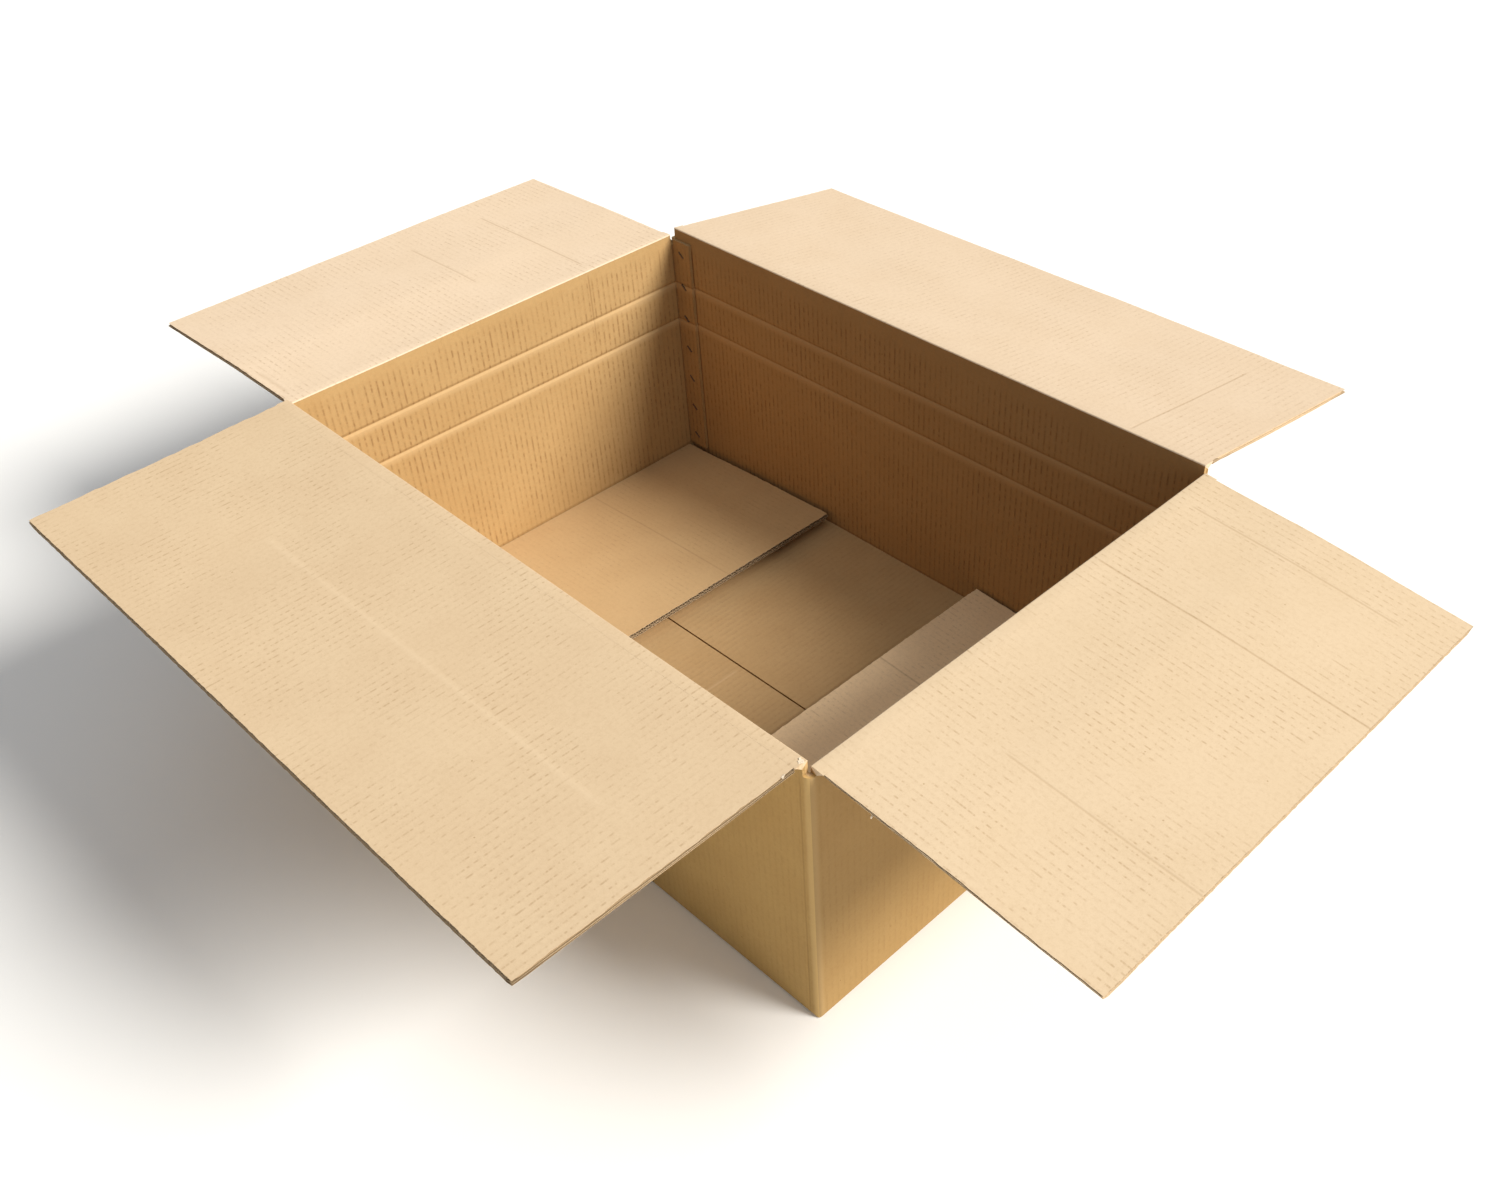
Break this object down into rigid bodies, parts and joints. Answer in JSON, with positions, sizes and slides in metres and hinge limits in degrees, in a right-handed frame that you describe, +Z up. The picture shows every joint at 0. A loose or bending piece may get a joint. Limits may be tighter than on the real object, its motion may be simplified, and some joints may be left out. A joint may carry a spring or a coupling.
{
  "type": "corrugated box",
  "caption": "Open rectangular shipping box folded from double-wall corrugated board, with hinged top flaps, taped long bottom flaps and short bottom flaps that lift inside.",
  "frame": {"origin": "centre of the box's underside, on the surface it stands on", "axes": "+X along the long walls, +Y from the front long wall to the back one, +Z up"},
  "size_m": [1.3571, 1.1162, 0.3315],
  "materials": {
    "wall_board": "matte kraft liner",
    "flap_board": "matte kraft liner over open flutes",
    "stitch_wire": "dull flat wire",
    "tape": "tan packing tape"
  },
  "bodies": {
    "box": {"box_body": "wall_board", "wire_stitches": "stitch_wire", "bottom_tape": "tape"},
    "front_flap": {"front_top_flap": "flap_board"},
    "right_flap": {"right_top_flap": "flap_board"},
    "back_flap": {"back_top_flap": "flap_board"},
    "left_flap": {"left_top_flap": "flap_board"},
    "left_floor_flap": {"left_bottom_flap": "flap_board"},
    "right_floor_flap": {"right_bottom_flap": "flap_board"}
  },
  "joints": [
    {"name": "front_flap_fold", "type": "hinge", "parent": "box", "child": "front_flap", "pos_m": [0, -0.28, 0.325], "axis": [-1, 0, 0], "range_deg": [-85.5, 180.5]},
    {"name": "right_flap_fold", "type": "hinge", "parent": "box", "child": "right_flap", "pos_m": [0.4, 0, 0.3181], "axis": [0, -1, 0], "range_deg": [-79.5, 187]},
    {"name": "back_flap_fold", "type": "hinge", "parent": "box", "child": "back_flap", "pos_m": [0, 0.28, 0.325], "axis": [1, 0, 0], "range_deg": [-78, 188]},
    {"name": "left_flap_fold", "type": "hinge", "parent": "box", "child": "left_flap", "pos_m": [-0.4, 0, 0.3181], "axis": [0, 1, 0], "range_deg": [-84, 182.5]},
    {"name": "left_floor_flap_fold", "type": "hinge", "parent": "box", "child": "left_floor_flap", "pos_m": [-0.3934, 0, 0.0135], "axis": [0, -1, 0], "range_deg": [-2.5, 85.5]},
    {"name": "right_floor_flap_fold", "type": "hinge", "parent": "box", "child": "right_floor_flap", "pos_m": [0.3934, 0, 0.0135], "axis": [0, 1, 0], "range_deg": [-4, 84]}
  ]
}
